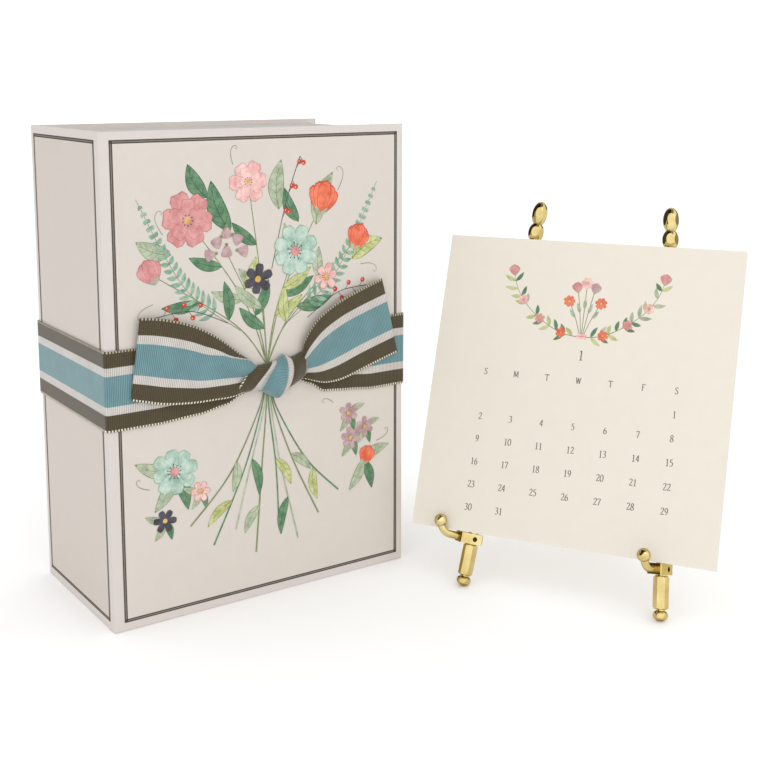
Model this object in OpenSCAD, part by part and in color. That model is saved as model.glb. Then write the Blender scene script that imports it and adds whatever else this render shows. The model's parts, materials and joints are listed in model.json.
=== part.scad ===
// Desk calendar: square month cards on a folding brass easel, beside the book-style box
// that the set is kept in, tied with a ribbon.
// X runs along the cards, Y towards the back, Z up. The set stands on Z = 0.

/* [Cards] */
// Width of a card
card_w = 140; // [110:1:160]
// Height of a card
card_h = 140; // [135:1:160]
// Thickness of a card
card_t = 0.3; // [0.2:0.05:0.4]
// Air between one card and the next
card_gap = 0.02; // [0.01:0.01:0.05]

/* [Easel legs] */
// Distance between the front feet at the floor
foot_spacing = 91.5; // [80:0.5:110]
// Distance between the finial tips
finial_spacing = 62.3; // [50:0.1:80]
// Length of a front leg from the floor to its finial's tip
leg_len = 186; // [180:0.5:220]
// Backward lean of the front legs, in degrees
leg_lean = 20.9; // [15:0.1:24]
// How far the easel's middle stands to the right of the cards' middle
easel_x = 2; // [-5:0.5:5]
// Radius of a leg rod
leg_r = 2.3; // [1.8:0.1:2.6]
// Radius of a hexagonal post across its corners
post_r = 3.4; // [3:0.1:4]
// Length of a hexagonal post
post_len = 14.2; // [10:0.1:16]
// Turn of a hexagonal post about its leg, in degrees
post_turn = 9; // [0:1:30]
// Radius of a ball foot
foot_r = 3.3; // [2.8:0.1:4]
// Half of the height of a ball foot
foot_half_h = 2.3; // [1.8:0.1:3]

/* [Hooks] */
// Length of a hook block, along its arm
block_l = 11.2; // [10.6:0.1:14]
// Distance of a block's front end from the leg's axis
block_front = 7.2; // [6.6:0.1:9]
// Width of a hook block, across its arm
block_w = 7; // [6.8:0.1:9]
// Height of a hook block
block_h = 4.8; // [4.4:0.1:6]
// Distance of the blocks' middle from the floor, along the easel
block_at = 22.4; // [22.2:0.1:30]
// Radius of a hook arm
arm_r = 1.7; // [1.3:0.1:2]
// Distance from the leg's axis to the start of the arm's bend
arm_reach = 11.2; // [11:0.1:16]
// Radius of the bend at the end of an arm
arm_bend_r = 5.5; // [4.5:0.1:7]
// Angle of the bend at the end of an arm, in degrees
arm_bend = 66; // [45:1:80]
// Radius of the ball at the end of an arm
ball_r = 2.9; // [2.4:0.1:3.4]
// Swing of the left hook on its leg, in degrees
left_swing = 49.5; // [30:0.5:50]
// Swing of the right hook on its leg, in degrees
right_swing = 16; // [5:1:50]

/* [Easel back] */
// Radius of the upper crossbar
bar_r = 2; // [1.5:0.1:2.4]
// Height of the upper crossbar as a share of the legs' length
upper_bar_share = 0.806; // [0.78:0.002:0.82]
// Height of the lower crossbar as a share of the legs' length
lower_bar_share = 0.398; // [0.32:0.002:0.48]
// Radius of the hinge pin
pin_r = 1.2; // [0.9:0.1:1.4]
// Radius of the rear leg's rod
rear_r = 2; // [1.6:0.1:2.3]
// Angle of the open rear leg from upright, in degrees
rear_open = 13; // [10:1:18]

/* [Box] */
// Width of the box along its front
box_w = 148.5; // [140:0.5:170]
// Depth of the box, front to back
box_d = 80; // [70:1:100]
// Height of the box
box_h = 212; // [190:1:240]
// Thickness of a cover board
board_t = 2; // [1.6:0.1:2.2]
// Step of the tray behind the edges of the boards
tray_step = 2.4; // [2:0.1:2.6]
// Thickness of a tray wall
wall_t = 1.5; // [1.2:0.1:1.7]
// Thickness of the paper liners
liner_t = 0.3; // [0.2:0.05:0.5]
// Turn of the box against the cards, in degrees
box_turn = 58.7; // [50:0.1:70]
// Place of the box's near corner, to the left of the cards' middle
box_left = 160.6; // [158:0.1:200]
// Place of the box's near corner, in front of the cards' lower edge
box_front = 108.7; // [80:0.1:120]

/* [Ribbon] */
// Width of the ribbon
ribbon_w = 34; // [24:1:40]
// Thickness of the ribbon
ribbon_t = 0.6; // [0.4:0.1:0.8]
// Air between the ribbon and the box
ribbon_gap = 0.3; // [0.2:0.05:0.5]
// Height of the middle of the ribbon above the floor
ribbon_z = 105; // [90:1:130]
// Width of the knot
knot_w = 34; // [28:1:40]
// Height of the knot
knot_h = 19; // [15:1:24]
// Depth of the knot
knot_d = 13; // [10:0.5:16]
// Place of the knot's middle along the box's front
knot_x = 74; // [68:1:80]
// Length of a ribbon tail beyond the knot
tail_len = 52; // [40:1:54]

/* [Hidden] */
$fn = 48;
card_count = 12;
MONTHS = ["01", "02", "03", "04", "05", "06", "07", "08", "09", "10", "11", "12"];

// Clearances and overruns
overrun = 1;
bore_gap = 0.05;
seat_gap = 0.1;
side_gap = 0.4;

// Front legs: the splay brings the finial tips together
splay = asin((foot_spacing - finial_spacing) / 2 / leg_len);
leg_tilt = acos(cos(leg_lean) * cos(splay));
foot_drop = sqrt(pow(foot_half_h * cos(leg_tilt), 2) + pow(foot_r * sin(leg_tilt), 2));
foot_at = foot_drop / cos(leg_tilt);
neck_r = 1.9;
neck_len = 0.2;
post_at = foot_at + foot_half_h + neck_len;
post_chamfer = 0.7;
post_top = post_at + post_len;
finial_h = 20.6;
finial_at = leg_len - finial_h;
finial_top_r = 3.6;
finial_low_r = 3.7;
finial_neck_r = 2;
finial_hex_r = 3.72;
finial_top_h = 11.2;
collar_r = 3.1;
collar_h = 1.3;
egg_step = 6;
screw_r = 1.1;
screw_sink = 0.5;
screw_slot_w = 0.4;
screw_slot_d = 0.3;
block_edge = 0.5;
ball_seat_share = 0.8;

// The crossbars join the legs
upper_bar_at = upper_bar_share * leg_len;
lower_bar_at = lower_bar_share * leg_len;
lower_bar_r = 1.5;
bar_front = finial_low_r + seat_gap;

// Cards: the stack stands on the blocks and leans on the upper crossbar, clear of the finials
stack_t = card_count * card_t + (card_count - 1) * card_gap;
stack_reach = bar_front + seat_gap;
stack_front = stack_reach + stack_t;
card_up = block_h / 2 + seat_gap / 2;
legs_back = stack_front * cos(leg_lean) - (block_at + card_up) * sin(leg_lean);
card_z = (block_at + card_up) * cos(leg_lean) + stack_front * sin(leg_lean);

// The highest place of a block's top under the cards, across the leg, and the block's place along its leg
function block_x(side, swing) = side > 0
    ? (block_w / 2 - stack_reach * sin(swing)) / cos(swing)
    : max((stack_reach * cos(swing) - block_front) / sin(swing),
          -(block_w / 2 + stack_reach * sin(swing)) / cos(swing));
function hook_at(side, swing) = (block_at - side * block_x(side, swing) * sin(splay)) / cos(splay);

// Rear leg: its hinge sits behind the crossbar, on the middle plane
hinge_back = 5.6;
cheek_w = 2.2;
knuckle_w = 6;
knuckle_r = 3;
stub_r = 2.4;
cheek_r = 2.8;
lug_t = 1.4;
hinge_side = 0.1;
slot_w = knuckle_w + 2 * hinge_side;
bracket_w = slot_w + 2 * cheek_w;
slot_top = knuckle_r + seat_gap + knuckle_r / 2;
stop_y = hinge_back + knuckle_r + side_gap;
pin_head_r = 2;
pin_head_h = 0.9;
hinge_drop = 14;
hinge_at = upper_bar_at - hinge_drop;
hinge_y = legs_back + hinge_at * sin(leg_lean) + hinge_back * cos(leg_lean);
hinge_z = hinge_at * cos(leg_lean) - hinge_back * sin(leg_lean);
rear_hex_turn = 30;
rear_foot_drop = sqrt(pow(foot_half_h * cos(rear_open), 2) + pow(foot_r * sin(rear_open), 2));
rear_len = (hinge_z - rear_foot_drop) / cos(rear_open);
stop_t = 1.2;
stop_h = 7;
knuckle_stub = 3;

// Box: the tray is glued to the back board, and the boards stand proud of it
tray_x = board_t + liner_t;
tray_y = board_t + side_gap;
tray_w = box_w - tray_x - tray_step;
tray_h = box_h - 2 * tray_step;
tray_d = box_d - board_t - tray_y;
lining_t = 0.4;
board_edge = 0.3;

// Ribbon
band_out = ribbon_gap + ribbon_t;
knot_round = 7.5;
knot_mid_share = 0.35;
knot_end = 3;
knot_tilt = 1;
tail_rise = 14.5;
tail_lift = 4.2;
tail_end_out = 2.2;
tail_steps = 14;
tail_rows = 10;
tail_fold = 1.3;
tail_waves = 1;
tail_open = 1.25;
tail_cut = 3;
tail_neck_share = 0.38;

// The origin is the middle of the set's footprint
box_corner = [-box_left, -box_front];
function box_point(x, y) = box_corner
    + [x * cos(box_turn) - y * sin(box_turn), x * sin(box_turn) + y * cos(box_turn)];
foot_reach_y = sqrt(pow(foot_half_h * sin(rear_open), 2) + pow(foot_r * cos(rear_open), 2));
x_low = box_point(-band_out, box_d + band_out)[0];
x_high = card_w / 2;
y_low = box_point(-band_out, -band_out)[1];
y_high = hinge_y + rear_len * sin(rear_open) + foot_reach_y;
origin = [-(x_low + x_high) / 2, -(y_low + y_high) / 2, 0];

BRASS = "goldenrod";
CARD = "linen";
BOARD = "antiquewhite";
LINING = "lightgray";
RIBBON = "cadetblue";

// Frames

// The leg's own frame: Z runs up the leg, X across it, Y to the back
module leg_frame(side) {
    translate(origin)
        translate([easel_x + side * foot_spacing / 2, legs_back, 0])
            rotate([-leg_lean, 0, 0])
                rotate([0, -side * splay, 0])
                    children();
}

// The frame of both legs' plane, on the middle line
module easel_frame() {
    translate(origin)
        translate([easel_x, legs_back, 0])
            rotate([-leg_lean, 0, 0])
                children();
}

// The frame of the stack: X along the cards, Z up them, Y from the front card to the back one
module stack_frame() {
    translate(origin)
        translate([0, 0, card_z])
            rotate([-leg_lean, 0, 0])
                children();
}

module rear_frame() {
    translate(origin)
        translate([easel_x, hinge_y, hinge_z])
            rotate([rear_open, 0, 0])
                children();
}

module box_frame() {
    translate(origin)
        translate([box_corner[0], box_corner[1], 0])
            rotate([0, 0, box_turn])
                children();
}

// Turned profiles: points [radius, height] of an egg between two angles from its lower pole
function egg(r, half_h, z, from, to, n) =
    [for (i = [0:n]) let (a = from + (to - from) * i / n) [r * sin(a), z - half_h * cos(a)]];

module turned(points) {
    rotate_extrude()
        polygon(points);
}

// A stretch of hexagonal bar; the turned parts are cut from it, so their fullest places keep its flats
module hex_bar(r, low, high, turn) {
    translate([0, 0, low])
        rotate([0, 0, turn])
            cylinder(h = high - low, r = r, $fn = 6);
}

// Easel: feet, posts, rods and finials

module ball_foot(at, turn) {
    top = at + foot_half_h + neck_len;
    intersection() {
        turned(concat(
            egg(foot_r, foot_half_h, at, 0, 180 - asin(neck_r / foot_r), 14),
            [[neck_r, top], [0, top]]));
        hex_bar(post_r, at - foot_half_h - overrun, top + overrun, turn);
    }
}

module foot(side) {
    color(BRASS)
        leg_frame(side)
            ball_foot(foot_at, post_turn);
}

module post(side) {
    color(BRASS)
        leg_frame(side)
            intersection() {
                hex_bar(post_r, post_at, post_top, post_turn);
                turned([
                    [0, post_at], [post_r - post_chamfer, post_at],
                    [post_r, post_at + post_chamfer], [post_r, post_top - post_chamfer],
                    [post_r - post_chamfer, post_top], [0, post_top]]);
            }
}

module leg(side) {
    color(BRASS)
        leg_frame(side)
            translate([0, 0, post_top])
                cylinder(h = finial_at - post_top, r = leg_r);
}

module finial(side) {
    low_from = asin(leg_r / finial_low_r);
    low_to = 180 - asin(finial_neck_r / finial_low_r);
    low_half = (finial_h - finial_top_h - collar_h) / (cos(low_from) - cos(low_to));
    top_from = asin(finial_neck_r / finial_top_r);
    top_half = finial_top_h / (1 + cos(top_from));
    low_z = finial_at + collar_h + low_half * cos(low_from);
    top_z = leg_len - top_half;
    color(BRASS)
        leg_frame(side)
            intersection() {
                turned(concat(
                    [[0, finial_at], [leg_r, finial_at], [collar_r, finial_at + collar_h / 3],
                     [collar_r, finial_at + collar_h * 2 / 3]],
                    egg(finial_low_r, low_half, low_z, low_from, low_to, 12),
                    egg(finial_top_r, top_half, top_z, top_from + egg_step, 180, 16)));
                hex_bar(finial_hex_r, finial_at - overrun, leg_len + overrun, post_turn);
            }
}

// Hooks: a block on the leg, an arm with a ball, and the set screw that clamps the block

module hook_frame(side, swing) {
    leg_frame(side)
        translate([0, 0, hook_at(side, swing)])
            rotate([0, 0, -swing])
                children();
}

module block(side, swing) {
    back = block_l - block_front;
    color(BRASS)
        hook_frame(side, swing)
            difference() {
                linear_extrude(height = block_h, center = true)
                    polygon([
                        [-block_w / 2 + block_edge, -block_front], [block_w / 2 - block_edge, -block_front],
                        [block_w / 2, -block_front + block_edge], [block_w / 2, back - block_edge],
                        [block_w / 2 - block_edge, back], [-block_w / 2 + block_edge, back],
                        [-block_w / 2, back - block_edge], [-block_w / 2, -block_front + block_edge]]);
                cylinder(h = block_h + 2 * overrun, r = leg_r + bore_gap, center = true);
                screw_hole();
            }
}

// The screw sits in the block's side, level with the leg's axis, and ends just short of the leg
module screw_hole() {
    rotate([0, 90, 0])
        cylinder(h = block_w, r = screw_r);
}

module screw(side, swing) {
    color(BRASS)
        hook_frame(side, swing)
            rotate([0, 90, 0])
                difference() {
                    translate([0, 0, leg_r + bore_gap])
                        cylinder(h = block_w / 2 - screw_sink - leg_r - bore_gap, r = screw_r - bore_gap);
                    translate([-screw_slot_w / 2, -screw_r, block_w / 2 - screw_sink - screw_slot_d])
                        cube([screw_slot_w, 2 * screw_r, screw_slot_d + overrun]);
                }
}

module arm(side, swing) {
    straight = arm_reach - block_front;
    color(BRASS)
        hook_frame(side, swing)
            translate([0, -block_front, 0])
                rotate([90, 0, 0]) {
                    cylinder(h = straight, r = arm_r);
                    translate([0, arm_bend_r, straight])
                        rotate([90, 0, -90])
                            arm_curve();
                }
}

// The bend rises from the end of the straight stretch; the ball closes it
module arm_curve() {
    rotate_extrude(angle = arm_bend)
        translate([arm_bend_r, 0])
            circle(r = arm_r);
    rotate([0, 0, arm_bend])
        translate([arm_bend_r, ball_r * ball_seat_share, 0])
            sphere(r = ball_r);
}

// Easel: crossbars, hinge and rear leg

module leg_cuts() {
    for (side = [-1, 1])
        translate([side * foot_spacing / 2, 0, 0])
            rotate([0, -side * splay, 0])
                cylinder(h = leg_len, r = leg_r);
}

function half_span(at) = foot_spacing / 2 - at * tan(splay);

module upper_crossbar() {
    bar_half = half_span(upper_bar_at) + leg_r + bar_r;
    color(BRASS)
        easel_frame()
            difference() {
                translate([0, -(bar_front - bar_r), upper_bar_at])
                    rotate([0, 90, 0])
                        cylinder(h = 2 * bar_half, r = bar_r, center = true);
                leg_cuts();
            }
}

module lower_crossbar() {
    color(BRASS)
        easel_frame()
            difference() {
                translate([0, 0, lower_bar_at])
                    rotate([0, 90, 0])
                        cylinder(h = 2 * half_span(lower_bar_at), r = lower_bar_r, center = true);
                leg_cuts();
            }
}

// The bracket runs back from the crossbar, then down in two cheeks round the knuckle
module hinge_bracket() {
    color(BRASS)
        easel_frame()
            difference() {
                translate([-bracket_w / 2, 0, hinge_at])
                    rotate([90, 0, 90])
                        linear_extrude(height = bracket_w)
                            bracket_side();
                translate([-slot_w / 2, hinge_back - 2 * knuckle_r, hinge_at - 2 * knuckle_r])
                    cube([slot_w, 4 * knuckle_r, 2 * knuckle_r + slot_top]);
                translate([0, hinge_back, hinge_at])
                    rotate([0, 90, 0])
                        cylinder(h = bracket_w + 2 * overrun, r = pin_r, center = true);
                translate([0, -(bar_front - bar_r), upper_bar_at])
                    rotate([0, 90, 0])
                        cylinder(h = bracket_w + 2 * overrun, r = bar_r, center = true);
            }
}

// Side outline of the bracket, in [back, up] from the hinge's height
module bracket_side() {
    rise = upper_bar_at - hinge_at;
    front = -(bar_front - bar_r);
    polygon([
        [front, rise - bar_r - lug_t], [front, rise], [front + bar_r, rise + lug_t],
        [stop_y - lug_t, rise + lug_t], [stop_y, rise],
        [stop_y, -cheek_r / 2], [stop_y - cheek_r / 2, -cheek_r],
        [hinge_back - cheek_r / 2, -cheek_r], [hinge_back - cheek_r, -cheek_r / 2],
        [hinge_back - cheek_r, rise - bar_r - lug_t]]);
}

// The plate closes the slot behind the hinge, and the open leg stops against it
module stop_plate() {
    swing = leg_lean + rear_open;
    low = (stub_r + seat_gap) / sin(swing) - (stop_y - hinge_back) / tan(swing);
    color(BRASS)
        easel_frame()
            translate([-bracket_w / 2, stop_y, hinge_at + low])
                cube([bracket_w, stop_t, stop_h]);
}

module hinge_pin() {
    pin_half = bracket_w / 2;
    color(BRASS)
        easel_frame()
            translate([0, hinge_back, hinge_at])
                rotate([0, 90, 0]) {
                    cylinder(h = 2 * pin_half, r = pin_r, center = true);
                    for (end = [0, 1])
                        mirror([0, 0, end])
                            translate([0, 0, pin_half])
                                cylinder(h = pin_head_h, r = pin_head_r);
                }
}

module rear_knuckle() {
    color(BRASS)
        rear_frame()
            difference() {
                union() {
                    rotate([0, 90, 0])
                        cylinder(h = knuckle_w, r = knuckle_r, center = true);
                    translate([0, 0, -knuckle_r - knuckle_stub])
                        cylinder(h = knuckle_r + knuckle_stub, r = stub_r);
                }
                rotate([0, 90, 0])
                    cylinder(h = knuckle_w + 2 * overrun, r = pin_r + bore_gap, center = true);
            }
}

module rear_leg() {
    top = knuckle_r + knuckle_stub;
    bottom = rear_len - foot_half_h - neck_len;
    color(BRASS)
        rear_frame()
            translate([0, 0, -bottom])
                cylinder(h = bottom - top, r = rear_r);
}

module rear_foot() {
    color(BRASS)
        rear_frame()
            ball_foot(-rear_len, rear_hex_turn);
}

// Cards

module card(i) {
    color(CARD)
        stack_frame()
            translate([-card_w / 2, i * (card_t + card_gap), 0])
                cube([card_w, card_t, card_h]);
}

// Box: three cover boards, paper liners and the tray inside

// A board from the floor up, with a fine bevel on its upright edges
module board(x, y, w, d) {
    translate([x, y, 0])
        linear_extrude(height = box_h)
            polygon([
                [board_edge, 0], [w - board_edge, 0], [w, board_edge], [w, d - board_edge],
                [w - board_edge, d], [board_edge, d], [0, d - board_edge], [0, board_edge]]);
}

// A plain sheet or wall inside the box, given by its low corner and its size
module slab(at, size) {
    translate(at)
        cube(size);
}

module front_board() {
    color(BOARD)
        box_frame()
            board(0, 0, box_w, board_t);
}

module spine_board() {
    color(BOARD)
        box_frame()
            board(0, board_t, board_t, box_d - 2 * board_t);
}

module back_board() {
    color(BOARD)
        box_frame()
            board(0, box_d - board_t, box_w, board_t);
}

module spine_liner() {
    color(LINING)
        box_frame()
            slab([board_t, board_t, tray_step], [liner_t, box_d - 2 * board_t, tray_h]);
}

module front_liner() {
    color(LINING)
        box_frame()
            slab([tray_x, board_t, tray_step], [tray_w, liner_t, tray_h]);
}

module tray_floor() {
    color(LINING)
        box_frame()
            slab([tray_x, box_d - board_t - wall_t, tray_step], [tray_w, wall_t, tray_h]);
}

module tray_top() {
    color(LINING)
        box_frame()
            slab([tray_x + wall_t, tray_y, tray_step + tray_h - wall_t],
                 [tray_w - 2 * wall_t, tray_d - wall_t, wall_t]);
}

module tray_bottom() {
    color(LINING)
        box_frame()
            slab([tray_x + wall_t, tray_y, tray_step],
                 [tray_w - 2 * wall_t, tray_d - wall_t, wall_t]);
}

module tray_spine_wall() {
    color(LINING)
        box_frame()
            slab([tray_x, tray_y, tray_step], [wall_t, tray_d - wall_t, tray_h]);
}

module tray_fore_wall() {
    color(LINING)
        box_frame()
            slab([tray_x + tray_w - wall_t, tray_y, tray_step], [wall_t, tray_d - wall_t, tray_h]);
}

module tray_lining() {
    color(CARD)
        box_frame()
            slab([tray_x + wall_t, box_d - board_t - wall_t - lining_t, tray_step + wall_t],
                 [tray_w - 2 * wall_t, lining_t, tray_h - 2 * wall_t]);
}

// Ribbon: a band round the box, a knot on its front and two flared tails

module ribbon_band() {
    color(RIBBON)
        box_frame()
            translate([0, 0, ribbon_z - ribbon_w / 2])
                difference() {
                    translate([-band_out, -band_out, 0])
                        cube([box_w + 2 * band_out, box_d + 2 * band_out, ribbon_w]);
                    translate([-ribbon_gap, -ribbon_gap, -overrun])
                        cube([box_w + 2 * ribbon_gap, box_d + 2 * ribbon_gap, ribbon_w + 2 * overrun]);
                }
}

// The knot is a squat pillow, flat behind and flat at its two ends, where the tails leave it
module ribbon_knot() {
    color(RIBBON)
        box_frame()
            translate([knot_x, -band_out, ribbon_z])
                intersection() {
                    hull()
                        for (sx = [-1, 1])
                            for (sz = [-1, 1])
                                translate([sx * (knot_w / 2 - knot_round), -knot_d * knot_mid_share,
                                           sz * (knot_h / 2 - knot_round) + sx * knot_tilt])
                                    scale([1, knot_d * (1 - knot_mid_share) / knot_round, 1])
                                        sphere(r = knot_round, $fn = 24);
                    translate([-knot_w / 2 + knot_end, -knot_d, -knot_h])
                        cube([knot_w - 2 * knot_end, knot_d, 2 * knot_h]);
                }
}

// Unit step that eases in and out between 0 and 1
function ease(u) = u * u * (3 - 2 * u);

// A point of a tail: u runs from the knot to the cut end, v across it, t through its thickness
function tail_point(side, u, v, t) =
    let (
        spread = tail_neck_share + (1 - tail_neck_share) * ease(min(1, u * tail_open)),
        rise = tail_rise * ease(u) + (v - 0.5) * ribbon_w * spread,
        out = tail_lift * (1 - ease(u)) + tail_end_out
            + tail_fold * (1 - u / 2) * sin(360 * (v * tail_waves + u / 2)),
        run = knot_w / 2 - knot_end + u * tail_len - (v - 0.5) * tail_cut * u)
    [knot_x + side * run, -(band_out + out + t * ribbon_t), ribbon_z + rise];

module tail(side) {
    n = tail_rows + 1;
    grid = (tail_steps + 1) * n;
    points = [for (t = [0, 1]) for (i = [0:tail_steps]) for (j = [0:tail_rows])
        tail_point(side, i / tail_steps, j / tail_rows, t)];
    function quad(a, b, c, d) = side > 0 ? [[a, b, c], [a, c, d]] : [[c, b, a], [d, c, a]];
    faces = concat(
        [for (i = [0:tail_steps - 1]) for (j = [0:tail_rows - 1]) let (a = i * n + j)
            for (f = quad(a, a + n, a + n + 1, a + 1)) f],
        [for (i = [0:tail_steps - 1]) for (j = [0:tail_rows - 1]) let (a = grid + i * n + j)
            for (f = quad(a, a + 1, a + n + 1, a + n)) f],
        [for (i = [0:tail_steps - 1]) let (a = i * n)
            for (f = quad(a, grid + a, grid + a + n, a + n)) f],
        [for (i = [0:tail_steps - 1]) let (a = i * n + tail_rows)
            for (f = quad(a, a + n, grid + a + n, grid + a)) f],
        [for (j = [0:tail_rows - 1]) let (a = j)
            for (f = quad(a, a + 1, grid + a + 1, grid + a)) f],
        [for (j = [0:tail_rows - 1]) let (a = tail_steps * n + j)
            for (f = quad(a, grid + a, grid + a + 1, a + 1)) f]);
    color(RIBBON)
        box_frame()
            polyhedron(points = points, faces = faces, convexity = 6);
}

foot(-1);  // left_foot
foot(1);  // right_foot
post(-1);  // left_post
post(1);  // right_post
leg(-1);  // left_leg
leg(1);  // right_leg
finial(-1);  // left_finial
finial(1);  // right_finial
block(-1, left_swing);  // left_block
block(1, right_swing);  // right_block
arm(-1, left_swing);  // left_arm
arm(1, right_swing);  // right_arm
screw(-1, left_swing);  // left_screw
screw(1, right_swing);  // right_screw
upper_crossbar();
lower_crossbar();
hinge_bracket();
hinge_pin();
stop_plate();
rear_knuckle();
rear_leg();
rear_foot();
for (i = [0:card_count - 1])
    card(i);
front_board();
spine_board();
back_board();
spine_liner();
front_liner();
tray_floor();
tray_top();
tray_bottom();
tray_spine_wall();
tray_fore_wall();
tray_lining();
ribbon_band();
ribbon_knot();
tail(-1);  // ribbon_tail_left
tail(1);  // ribbon_tail_right
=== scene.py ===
"""A boxed desk calendar: month cards on a folding brass easel, beside a book-style box tied with a ribbon.

Lengths are millimetres until MM turns them into metres. Everything is drawn here: the prints and the
digits are flat shapes, the ribbon is cloth, and all other pieces keep the solids of the frame.
"""
import json
import math
import random

import bpy
from mathutils import Matrix, Vector


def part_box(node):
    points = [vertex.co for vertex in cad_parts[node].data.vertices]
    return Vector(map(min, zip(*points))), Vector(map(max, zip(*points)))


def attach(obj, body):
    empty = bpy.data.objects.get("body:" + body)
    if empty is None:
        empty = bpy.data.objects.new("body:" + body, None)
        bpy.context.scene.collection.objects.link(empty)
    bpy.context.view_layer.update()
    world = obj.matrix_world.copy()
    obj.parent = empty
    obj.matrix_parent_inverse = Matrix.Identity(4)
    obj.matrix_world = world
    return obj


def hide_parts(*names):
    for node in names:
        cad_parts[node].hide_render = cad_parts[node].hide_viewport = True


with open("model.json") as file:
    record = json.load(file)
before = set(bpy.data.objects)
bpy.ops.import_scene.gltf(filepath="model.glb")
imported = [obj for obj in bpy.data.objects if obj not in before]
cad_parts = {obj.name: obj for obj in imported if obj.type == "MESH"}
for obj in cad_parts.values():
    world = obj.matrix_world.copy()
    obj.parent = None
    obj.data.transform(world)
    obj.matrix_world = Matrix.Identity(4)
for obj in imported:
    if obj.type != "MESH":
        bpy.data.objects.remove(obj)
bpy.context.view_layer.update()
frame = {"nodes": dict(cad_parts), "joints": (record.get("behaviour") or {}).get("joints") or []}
MM = 0.001

# Places

# the zero of the part's source in the shared frame, and the box's near corner and turn from there
ORIGIN = Vector((80.09664, 13.15344, 0.0))
BOX_CORNER = ORIGIN + Vector((-160.6, -108.7, 0.0))
BOX_TURN = math.radians(58.7)
BOX_W, BOX_D, BOX_H = 148.5, 80.0, 212.0
box_frame = Matrix.Translation(BOX_CORNER) @ Matrix.Rotation(BOX_TURN, 4, "Z")

CARD_T, CARD_STEP = 0.3, 0.32  # one card, and from one card's face to the next one's
up = Vector(next(j["axis"] for j in frame["joints"] if j["name"] == "month_01_lift")).normalized()
facing = Vector((0.0, -up.z, up.y))
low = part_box("card_01")[0]
CARD_EDGE = Vector((ORIGIN.x, low[1] / MM, low[2] / MM + CARD_T * up.y))


def on_front(x, z, out):
    """A point of the box's front: x from the spine, z up, out from the board."""
    return (box_frame @ Vector((x, -out, z))) * MM


def on_spine(x, z, out):
    """A point of the spine: x from the back board towards the front."""
    return (box_frame @ Vector((-out, BOX_D - x, z))) * MM


def on_card(index):
    """The face of one card: x from its middle, z up it, out from its face."""
    edge = CARD_EDGE - facing * (index * CARD_STEP)
    return lambda x, z, out: (edge + Vector((x, 0, 0)) + up * z + facing * out) * MM


# Node helpers


def srgb(code):
    """Linear colour of a hex code."""
    values = [int(code[i : i + 2], 16) / 255 for i in (0, 2, 4)]
    return [v / 12.92 if v <= 0.04045 else ((v + 0.055) / 1.055) ** 2.4 for v in values] + [1.0]


def grey(v):
    return (v, v, v, 1.0)


def new_material(name, **sockets):
    """A material, its node tree and its shader, whose named sockets are set."""
    m = bpy.data.materials.new(name)
    m.use_nodes = True
    tree = m.node_tree
    shader = tree.nodes["Principled BSDF"]
    for key, value in sockets.items():
        shader.inputs[key.replace("_", " ")].default_value = value
    return m, tree, shader


def feed(tree, socket, value):
    """Link an output to the socket, or set the socket's own value."""
    if hasattr(value, "is_output"):
        tree.links.new(value, socket)
    else:
        socket.default_value = value


def node(tree, kind, inputs=None, **props):
    """A node whose inputs are set or linked, by name or by number."""
    n = tree.nodes.new(kind)
    for k, v in props.items():
        setattr(n, k, v)
    for k, v in (inputs or {}).items():
        feed(tree, n.inputs[k], v)
    return n


def calc(tree, operation, *values):
    return node(tree, "ShaderNodeMath", dict(enumerate(values)), operation=operation).outputs[0]


def map_range(tree, value, *limits):
    """From low and high to 0 and 1, or to the two further limits."""
    return node(tree, "ShaderNodeMapRange", dict(enumerate((value,) + limits))).outputs[0]


def ramp(tree, fac, stops):
    """Colours by value, from stops of (value, colour)."""
    n = node(tree, "ShaderNodeValToRGB", {0: fac})
    while len(n.color_ramp.elements) < len(stops):
        n.color_ramp.elements.new(0.5)
    for e, (pos, colour) in zip(n.color_ramp.elements, stops):
        e.position, e.color = pos, colour
    return n.outputs["Color"]


def grey_ramp(tree, fac, *stops):
    return ramp(tree, fac, [(pos, grey(v)) for pos, v in stops])


def noise(tree, place, scale, detail=3.0, rough=0.5):
    ins = {"Vector": place, "Scale": scale, "Detail": detail, "Roughness": rough}
    return node(tree, "ShaderNodeTexNoise", ins).outputs["Fac"]


def mix(tree, kind, fac, a, b):
    n = node(tree, "ShaderNodeMix", data_type="RGBA", blend_type=kind)
    for i, v in ((0, fac), (6, a), (7, b)):
        feed(tree, n.inputs[i], v)
    return n.outputs[2]


def link(tree, a, shader, socket):
    tree.links.new(a, shader.inputs[socket])


def bump(tree, shader, height, distance, strength=1.0, normal=None):
    """Relief of a surface, over the surface itself or over another node's normal."""
    ins = {"Height": height, "Distance": distance, "Strength": strength}
    if normal is not None:
        ins["Normal"] = normal
    link(tree, node(tree, "ShaderNodeBump", ins).outputs["Normal"], shader, "Normal")


def object_place(tree):
    return node(tree, "ShaderNodeTexCoord").outputs["Object"]


# Materials

RIBBON_T = 0.5
PICOT = 1.36  # from one small loop of the ribbon's edge to the next
RIB_PITCH = 0.80
THREADS = 60  # fine threads across the width
# shares of the ribbon's width where its colours change, brown outside and blue in the middle
STRIPE_SHARES = (0.211, 0.315, 0.695, 0.799)
STRIPE_SOFT_SHARE = 0.003
RIM_SHARES = (0.474, 0.478)  # from the middle line out to where the cream of the loops fades in


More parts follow.
